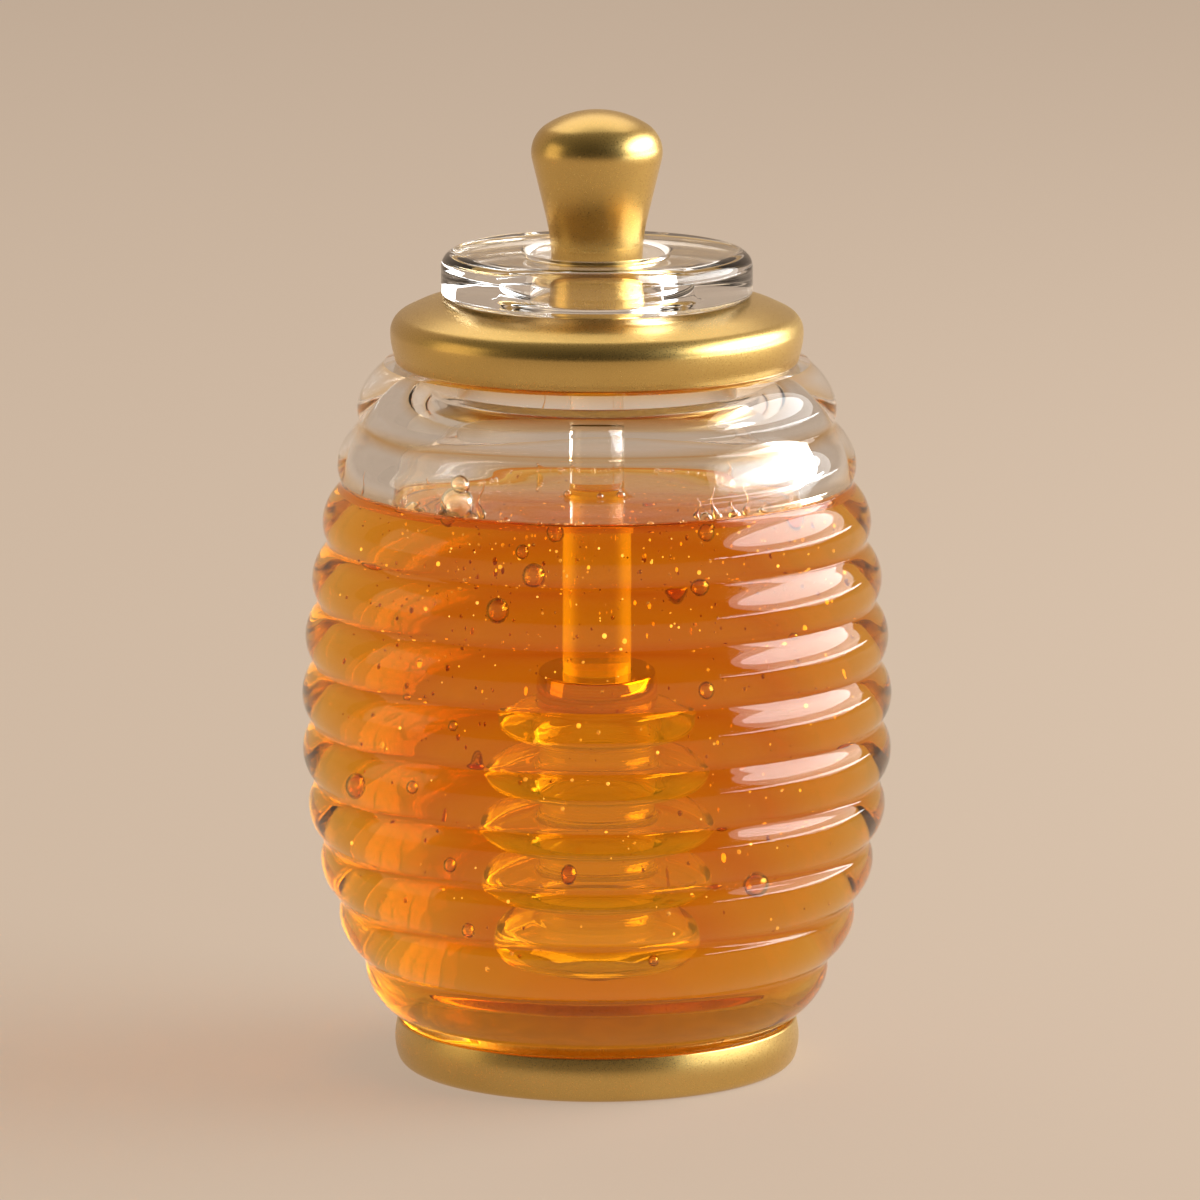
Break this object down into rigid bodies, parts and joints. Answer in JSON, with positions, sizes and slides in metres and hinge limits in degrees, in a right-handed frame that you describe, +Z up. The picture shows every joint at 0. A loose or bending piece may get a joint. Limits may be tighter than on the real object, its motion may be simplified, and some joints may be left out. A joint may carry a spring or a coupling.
{
  "type": "beehive honey jar with dipper",
  "caption": "Ribbed glass jar of honey in a metal cup, closed by a metal lid with a glass ring and a knob, from which a glass honey dipper hangs in the honey.",
  "frame": {"origin": "centre of the underside of the metal cup, on the surface that the jar stands on", "axes": "+Z up along the axis that every piece is turned about; X and Y are alike, because the jar is round"},
  "size_m": [0.0958, 0.0958, 0.1566],
  "materials": {
    "satin_gold": "fine-grained satin gold",
    "polished_gold": "polished gold",
    "clear_glass": "clear pressed glass, fire polished",
    "amber_honey": "clear amber liquid"
  },
  "bodies": {
    "root": {"base_cup": "satin_gold", "jar": "clear_glass", "honey": "amber_honey", "lid": "satin_gold", "glass_ring": "clear_glass", "knob": "satin_gold", "dipper_rod": "clear_glass", "dipper_collar": "polished_gold", "dipper_head": "clear_glass"}
  },
  "joints": []
}
